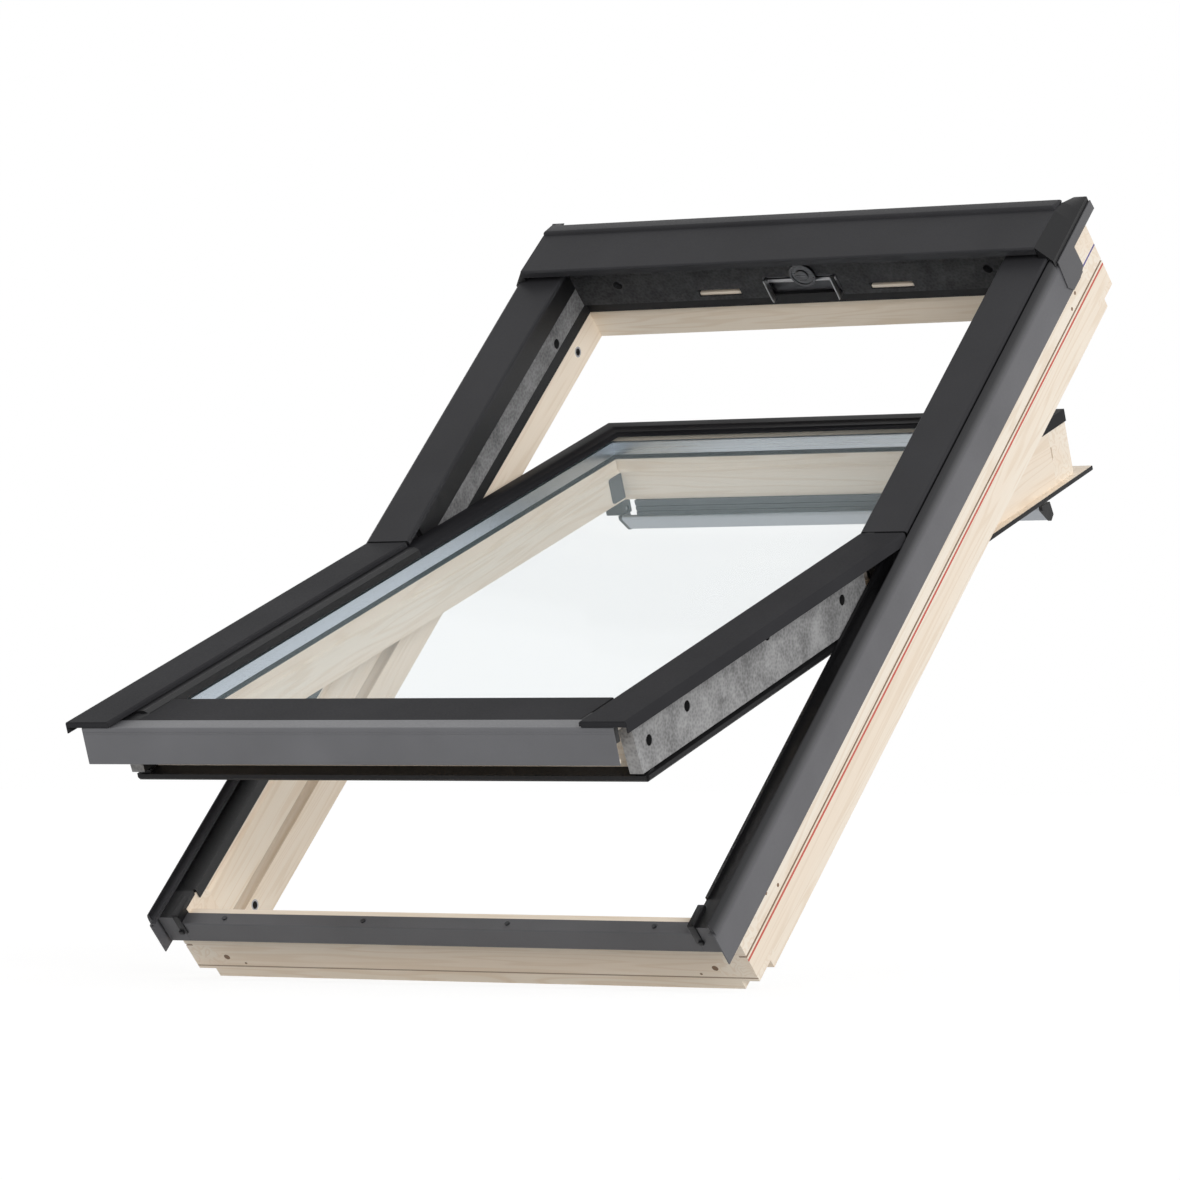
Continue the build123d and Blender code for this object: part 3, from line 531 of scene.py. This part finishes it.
# Upper glazing profile: black lacquered aluminium round the sash's upper half, which holds the
# glass. Its outer wall is cut short, so that the sash's timber shows below it.
profile_black = (0.010, 0.010, 0.012)
profile_dark = (0.008, 0.008, 0.010)
profile_pale = (0.016, 0.016, 0.018)
profile_roughness = 0.50
profile_play = (0.44, 0.56)
profile_gloss = 0.12
profile_merge = 0.00001
profile_cut = (0.0, 0.8, -0.0235)
pivot_place = Vector((0.0, 0.6005, 0.0010))
sash_turn = Matrix.Rotation(math.radians(-sash_opening), 4, "X")
on_sash = on_roof @ Matrix.Translation(pivot_place) @ sash_turn @ Matrix.Translation(-pivot_place)
black_lacquer = Finish("black_lacquer", profile_black, profile_roughness, gloss=profile_gloss)
black_cloud = black_lacquer.noise(black_lacquer.place(), noise_detail, cloud_size)
black_lacquer.colour(black_lacquer.blend(black_cloud, profile_dark, profile_pale))
black_lacquer.rough(black_lacquer.span(black_cloud, noise_middle, profile_play))
bpy.ops.object.select_all(action="DESELECT")
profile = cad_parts["upper_glazing_profile"].copy()
profile.data = profile.data.copy()
profile.name = "upper_profile_trim"
bpy.context.collection.objects.link(profile)
profile.select_set(True)
bpy.context.view_layer.objects.active = profile
bpy.ops.object.mode_set(mode="EDIT")
bpy.ops.mesh.select_all(action="SELECT")
bpy.ops.mesh.remove_doubles(threshold=profile_merge)
cut_place = on_sash @ Vector(profile_cut)
cut_way = (on_sash.to_3x3() @ Vector((0.0, 0.0, 1.0))).normalized()
bpy.ops.mesh.select_all(action="SELECT")
bpy.ops.mesh.bisect(plane_co=cut_place, plane_no=cut_way, use_fill=True, clear_inner=True)
bpy.ops.object.mode_set(mode="OBJECT")
bpy.ops.object.shade_smooth_by_angle(angle=smooth_corner)
profile.data.materials.clear()
profile.data.materials.append(black_lacquer.material)
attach(profile, "sash")
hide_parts("upper_glazing_profile")

# Ridge strip: a raised rounded strip along the top of the hood, rolled into its sheet, so that
# water runs off to the sides. It rises steeply at its front and falls away gently at its back.
strip_across = (-0.3730, 0.3730)
strip_up = (1.1530, 1.1772)
strip_out = (0.0118, 0.0214)
strip_lean = (0.0, 0.0042, -0.0010)
strip_fall = (0.0, 0.0, -0.0068)
strip_round = 0.0030
strip_steps = 5
strip_edge = 0.0006
sharp_corner = math.radians(40.0)
edge_steps = 2


def soften(piece, width, steps=edge_steps):
    """Rounds the sharp edges of a piece and shades it smooth between them."""
    bpy.ops.object.mode_set(mode="OBJECT")
    rounding = piece.modifiers.new("rounding", "BEVEL")
    rounding.width = width
    rounding.segments = steps
    rounding.limit_method = "ANGLE"
    rounding.angle_limit = sharp_corner
    bpy.ops.object.modifier_apply(modifier="rounding")
    bpy.ops.object.shade_smooth_by_angle(angle=smooth_corner)


ridge_strip = bar("hood_ridge_strip", strip_across, strip_up, strip_out)
pick_edges(ridge_strip, lambda end: end.y < strip_up[0] + slack and end.z > strip_out[1] - slack)
bpy.ops.transform.translate(value=strip_lean)
pick_edges(ridge_strip, lambda end: end.y > strip_up[1] - slack and end.z > strip_out[1] - slack)
bpy.ops.transform.translate(value=strip_fall)
pick_edges(ridge_strip, lambda end: end.z > strip_out[0] + slack)
bpy.ops.mesh.bevel(offset=strip_round, segments=strip_steps, affect="EDGES")
soften(ridge_strip, strip_edge)
seat(ridge_strip, on_roof, "frame", dark_lacquer)

# Bottom cover: the folded sheet over the sash's lower edge. It is a lighter grey than the
# covers beside it, as the photograph shows it.
front_grey = (0.148, 0.150, 0.160)
front_lacquer = lacquer("front_lacquer", front_grey)
dress(front_lacquer, "sash_bottom_cover")

# Moulded black plastic: the hood's end caps, the strips under the covers, the hinges' fixed
# halves, the bolt's housing and the drain channels. The blind's brackets are a paler plastic.
plastic_black = (0.010, 0.010, 0.011)
bracket_grey = (0.075, 0.080, 0.088)
plastic_roughness = 0.45
plastic_gloss = 0.3
black_plastic = lacquer("black_plastic", plastic_black, plastic_roughness, plastic_gloss)
dress(black_plastic, "left_hood_cap", "right_hood_cap",
      "left_cover_carrier", "right_cover_carrier", "left_glazing_bead", "right_glazing_bead",
      "left_hinge_block", "right_hinge_block", "bar_end_caps", "bolt_housing",
      "left_drain_channel", "right_drain_channel")
bracket_plastic = lacquer("bracket_plastic", bracket_grey, plastic_roughness, plastic_gloss)
dress(bracket_plastic, "left_blind_bracket", "right_blind_bracket")

# Corner keys: black plastic keys in the frame's two bottom corners. Their front carries on the
# grey lacquer of the cladding beside it, and a black clip with a hook is pushed over the corner.
key_grey = (0.096, 0.096, 0.102)
key_black = (0.012, 0.012, 0.013)
key_front_up = -0.6086
clip_round = 0.0006
clip_parts = (
    ((0.3526, 0.3620), (-0.0218, -0.0199), (-0.0435, -0.0135)),
    ((0.3526, 0.3620), (-0.0218, 0.0110), (-0.0185, -0.0135)),
    ((0.3570, 0.3632), (-0.0240, -0.0205), (-0.0435, -0.0385)),
)
key_finish = lacquer("key_finish", key_grey)
across, up, out = key_finish.directions(roof_slope)
key_front = key_finish.reckon("LESS_THAN", up, key_front_up)
key_finish.colour(key_finish.blend(key_front, key_black, key_finish.ground()))
dress(key_finish, "left_corner_key", "right_corner_key")
for side, hand in hands:
    made = [side_bar(hand + "corner_clip", side, *part) for part in clip_parts]
    for piece in made:
        piece.select_set(True)
    bpy.ops.object.join()
    clip = bpy.context.object
    clip.name = hand + "corner_clip"
    soften(clip, clip_round)
    seat(clip, on_roof, "frame", black_plastic)

# Insulation: strips of grey foam beads pressed together, so the surface is mottled and dull.
# The side strips have round blind holes, whose bottoms are painted black as their shade.
frame_foam_greys = ((0.100, 0.100, 0.102), (0.250, 0.250, 0.253))
sash_foam_greys = ((0.180, 0.180, 0.182), (0.420, 0.420, 0.423))
dark_foam_greys = ((0.025, 0.025, 0.027), (0.070, 0.070, 0.073))
foam_roughness = 0.75
foam_gloss = 0.2
bead_size = 260.0
bead_share = 0.35
bead_bump = 0.35
bead_depth = 0.0004
mottle_size = 30.0
mottle_detail = 4.0
mottle_warp = 0.6
mottle_share = 0.8
mottle_range = (0.35, 0.8)
hole_shade_black = (0.020, 0.020, 0.021)
frame_hole_side = 0.3368
sash_hole_side = 0.3512
sash_foam_start = (0.0, 0.0180, -0.0400)


def bead_foam(name, dark, pale):
    """Foam of pressed beads, mottled between two greys."""
    foam = Finish(name, pale, foam_roughness, gloss=foam_gloss)
    cells = foam.node("ShaderNodeTexVoronoi", feature="F1")
    cells.inputs["Scale"].default_value = bead_size
    foam.link(foam.place(), cells.inputs["Vector"])
    beads = cells.outputs["Distance"]
    mottle = foam.noise(foam.place(), mottle_detail, mottle_size, mottle_warp)
    mixed = foam.reckon("ADD", foam.reckon("MULTIPLY", mottle, mottle_share),
                        foam.reckon("MULTIPLY", beads, bead_share))
    foam.colour(foam.blend(foam.span(mixed, mottle_range, whole), dark, pale))
    foam.bump(beads, bead_bump, bead_depth)
    return foam


frame_foam = bead_foam("frame_foam", *frame_foam_greys)
across, up, out = frame_foam.directions(sash_slope)
# Painted shade: black is painted where the holes' bottoms lie, outwards of this line.
shaded_hole_bottoms = frame_foam.reckon("GREATER_THAN", frame_foam.reckon("ABSOLUTE", across), frame_hole_side)
frame_foam.colour(frame_foam.blend(shaded_hole_bottoms, frame_foam.ground(), hole_shade_black))
dress(frame_foam, "left_upper_insulation", "right_upper_insulation")

sash_foam = bead_foam("sash_foam", *sash_foam_greys)
foam_start = on_sash @ Vector(sash_foam_start)
foam_start_up = foam_start.y * math.cos(sash_slope) + foam_start.z * math.sin(sash_slope)
across, up, out = sash_foam.directions(sash_slope)
# Painted shade: black is painted where the holes' bottoms lie, inwards of this line and above the
# strips' start.
deep = sash_foam.reckon("LESS_THAN", sash_foam.reckon("ABSOLUTE", across), sash_hole_side)
shaded_hole_bottoms = sash_foam.both(deep, sash_foam.reckon("GREATER_THAN", up, foam_start_up))
sash_foam.colour(sash_foam.blend(shaded_hole_bottoms, sash_foam.ground(), hole_shade_black))
dress(sash_foam, "left_lower_insulation", "right_lower_insulation")

dark_foam = bead_foam("dark_foam", *dark_foam_greys)
dress(dark_foam, "top_insulation")

# Gaskets: soft black rubber strips round the rebate and the sash, and the tape under the glass.
# Extruded rubber is duller than the lacquer beside it.
rubber_black = (0.012, 0.012, 0.013)
rubber_roughness = 0.60
rubber_gloss = 0.25
rubber = lacquer("gasket_rubber", rubber_black, rubber_roughness, rubber_gloss)
dress(rubber, "upper_gasket", "sash_gasket", "glazing_tape")

# Lower corners of the sash: the covers' front ends are closed with dark plugs, black foam fills
# the corners between the glazing beads and the bottom cover, and a small stop stands under the
# cover's end.
corner_steps = 3
plug = ((0.3236, 0.3842), (-0.0436, -0.0330), (-0.0078, -0.0012))
plug_round = 0.0012
filler = ((0.3032, 0.3343), (-0.0115, 0.0118), (-0.0120, -0.0096))
filler_round = 0.0006
stop = ((0.3520, 0.3600), (-0.0384, -0.0252), (-0.0300, -0.0094))
stop_round = 0.0010
corner_pieces = (
    ("cover_plug", plug, plug_round, lower_lacquer, "dark_paint"),
    ("corner_filler", filler, filler_round, rubber, "gasket"),
    ("nose_stop", stop, stop_round, black_plastic, "black_plastic"),
)
for side, hand in hands:
    for name, limits, rounding, finish, slot in corner_pieces:
        piece = side_bar(hand + name, side, *limits)
        soften(piece, rounding, corner_steps)
        seat(piece, on_sash, "sash", finish)

# Front bead: a thin raised line along the bottom cover's front, of the same sheet. It is where
# the sheet is folded back on itself.
bead_across = (-0.3638, 0.3638)
bead_up = (-0.0424, -0.0416)
bead_out = (-0.0152, -0.0134)
bead_round = 0.0003
front_bead = bar("sash_front_bead", bead_across, bead_up, bead_out)
soften(front_bead, bead_round, corner_steps)
seat(front_bead, on_sash, "sash", front_lacquer)

# Upper sash seals: thin black rubber lips let into the edge of the sash's upper half. They show
# as a dark line under the timber and brush the frame's opening when the window is closed.
seal_up = (0.6400, 1.1300)
seal_out = (-0.0966, -0.0915)
seal_round = 0.0003
seals = (
    ("right_sash_seal", (0.3428, 0.3443), seal_up),
    ("left_sash_seal", (-0.3443, -0.3428), seal_up),
    ("top_sash_seal", (-0.3440, 0.3440), (1.1305, 1.1322)),
)
for name, across, up in seals:
    seal = bar(name, across, up, seal_out)
    soften(seal, seal_round)
    seat(seal, on_sash, "sash", rubber)

# Sash timber: the same pine in the turning sash, a little darker, as the photograph shows it
# in the shade inside.
sash_shade = 0.97
sash_stile_pine = pine("sash_stile_pine", sash_slope, "up", sash_shade)
sash_rail_pine = pine("sash_rail_pine", sash_slope, "across", sash_shade)
dress(sash_stile_pine, "left_sash_stile", "right_sash_stile")
dress(sash_rail_pine, "sash_top_rail", "sash_bottom_rail")

# Insulating glass: two panes, nearly clear, with a faint blue that deepens where one looks
# through both.
glass_tint = (0.70, 0.90, 0.96)
glass_roughness = 0.02
glass_index = 1.45
glass_cover = 0.06
clear_glass = Finish("clear_glass", glass_tint, glass_roughness)
clear_glass.surface.inputs["IOR"].default_value = glass_index
clear_glass.surface.inputs["Alpha"].default_value = glass_cover
dress(clear_glass, "outer_pane", "inner_pane")

# Glass spacer: a bright metal profile between the two panes' edges, with fine lines from its
# rolling. The window's other bare metal has such lines too.
spacer_metal_tint = (0.55, 0.60, 0.66)
spacer_roughness = 0.30
brush_stretch = (6.0, 900.0, 900.0)
brush_dark = 0.85
brush_smoother = 0.06
brush_rougher = 0.08
brush_bump = 0.08
brush_depth = 0.0001


def brushed(name, colour, roughness):
    """Bare metal with fine lines along X."""
    metal = Finish(name, colour, roughness, metal=1.0)
    lines = metal.noise(metal.place(sash_slope, brush_stretch), noise_detail)
    lined = metal.span(lines, noise_middle, whole)
    metal.colour(metal.blend(lined, shaded(colour, brush_dark), colour))
    roughness_play = (roughness - brush_smoother, roughness + brush_rougher)
    metal.rough(metal.span(lines, noise_middle, roughness_play))
    metal.bump(lines, brush_bump, brush_depth)
    return metal


spacer_metal = brushed("spacer_metal", spacer_metal_tint, spacer_roughness)
dress(spacer_metal, "glass_spacer")

# Control bar and flap: the bar is an anodised aluminium profile across the sash's top edge,
# and the dark flap behind it lets air through when the bar is pulled.
bar_tint = (0.36, 0.38, 0.41)
bar_roughness = 0.34
flap_black = (0.028, 0.031, 0.038)
flap_roughness = 0.38
bar_metal = brushed("bar_metal", bar_tint, bar_roughness)
dress(bar_metal, "control_bar")
flap_lacquer = lacquer("flap_lacquer", flap_black, flap_roughness)
dress(flap_lacquer, "ventilation_flap")

# Fittings: zinc-plated steel lock, hinge plates, bolt and bushes, and the strike's roller. The
# strike's box and the cladding's screws have a darker plating.
zinc_tint = (0.40, 0.40, 0.41)
zinc_roughness = 0.38
dark_zinc_tint = (0.075, 0.075, 0.080)
dark_zinc_roughness = 0.42
zinc = brushed("zinc_plate", zinc_tint, zinc_roughness)
dress(zinc, "left_hinge_sash_plate", "right_hinge_sash_plate", "lock_case", "latch_bolt",
      "barrel_bolt", "strike_roller", "bolt_bushes")
dark_zinc = brushed("dark_zinc", dark_zinc_tint, dark_zinc_roughness)
dress(dark_zinc, "strike_box", "cladding_screws")

# Tongues: the top rail's two wooden tongues stand in the slots of the top insulation and hold
# it in place. They are of the rail's own pine, and the saw leaves their edges slightly round.
tongue_middle = 0.126
tongue_half = 0.0306
tongue_across = (tongue_middle - tongue_half, tongue_middle + tongue_half)
tongue_up = (1.1212, 1.1440)
tongue_out = (-0.0674, -0.0628)
tongue_round = 0.0005
for side, hand in hands:
    tongue = side_bar(hand + "tongue", side, tongue_across, tongue_up, tongue_out)
    soften(tongue, tongue_round)
    seat(tongue, on_roof, "frame", rail_pine)

# Strike boss: a dark plated round boss stands out below the hood's lip, where the latch snaps
# in. A rim runs round its dished face, with a flat hub in the middle.
boss_place = (0.0080, 1.1165, -0.0370)
boss_upright = (math.radians(90.0), 0.0, 0.0)
boss_radius = 0.0180
boss_depth = 0.0040
boss_sides = 48
boss_rim = 0.0035
boss_round = 0.0005
dish_depth = 0.0016
dish_width = 0.0060
hub_height = 0.0022
squarely = 0.9
boss_tint = (0.10, 0.10, 0.105)
boss_roughness = 0.32
strike_steel = brushed("strike_steel", boss_tint, boss_roughness)
bpy.ops.object.select_all(action="DESELECT")
bpy.ops.mesh.primitive_cylinder_add(vertices=boss_sides, radius=boss_radius, depth=boss_depth,
                                    location=boss_place, rotation=boss_upright)
boss = bpy.context.object
boss.name = "strike_boss"
bpy.ops.object.transform_apply(location=True, rotation=True, scale=True)
bpy.ops.object.mode_set(mode="EDIT")
bpy.ops.mesh.select_mode(type="FACE")
bpy.ops.mesh.select_all(action="DESELECT")
bpy.ops.object.mode_set(mode="OBJECT")
for face in boss.data.polygons:
    face.select = face.normal.y < -squarely
bpy.ops.object.mode_set(mode="EDIT")
bpy.ops.mesh.inset(thickness=boss_rim)
bpy.ops.mesh.extrude_region_move(TRANSFORM_OT_translate={"value": (0.0, dish_depth, 0.0)})
bpy.ops.mesh.inset(thickness=dish_width)
bpy.ops.mesh.extrude_region_move(TRANSFORM_OT_translate={"value": (0.0, -hub_height, 0.0)})
soften(boss, boss_round)
seat(boss, on_roof, "frame", strike_steel)

# Strike legs: two zinc-plated straps hang beside the boss. Each lower end is drawn out in short
# steps, which move outwards and turn back, so the strap tapers to a tip bent slightly inwards.
leg_across = (0.0480, 0.0495)
leg_up = (1.1110, 1.1195)
leg_out = (-0.0700, -0.0400)
leg_round = 0.0003
tip_steps = 6
tip_length = 0.0022
tip_start = 15.0
tip_turn = 22.0
tip_middle = (0.0487, 1.115, -0.070)
for side, hand in hands:
    leg = side_bar(hand + "strike_leg", side, leg_across, leg_up, leg_out)
    for vertex in leg.data.vertices:
        vertex.select = False
    for edge in leg.data.edges:
        edge.select = False
    for face in leg.data.polygons:
        face.select = face.normal.z < -squarely
    bpy.ops.object.mode_set(mode="EDIT")
    bpy.ops.mesh.select_mode(type="FACE")
    turn_middle = (side * tip_middle[0], *tip_middle[1:])
    for step in range(tip_steps):
        reach = math.radians(tip_start + tip_turn * step)
        move = (side * tip_length * math.sin(reach), 0.0, -tip_length * math.cos(reach))
        bpy.ops.mesh.extrude_region_move(TRANSFORM_OT_translate={"value": move})
        bpy.ops.transform.rotate(value=-side * math.radians(tip_turn), orient_axis="Y",
                                 center_override=turn_middle)
    soften(leg, leg_round)
    seat(leg, on_roof, "frame", zinc)
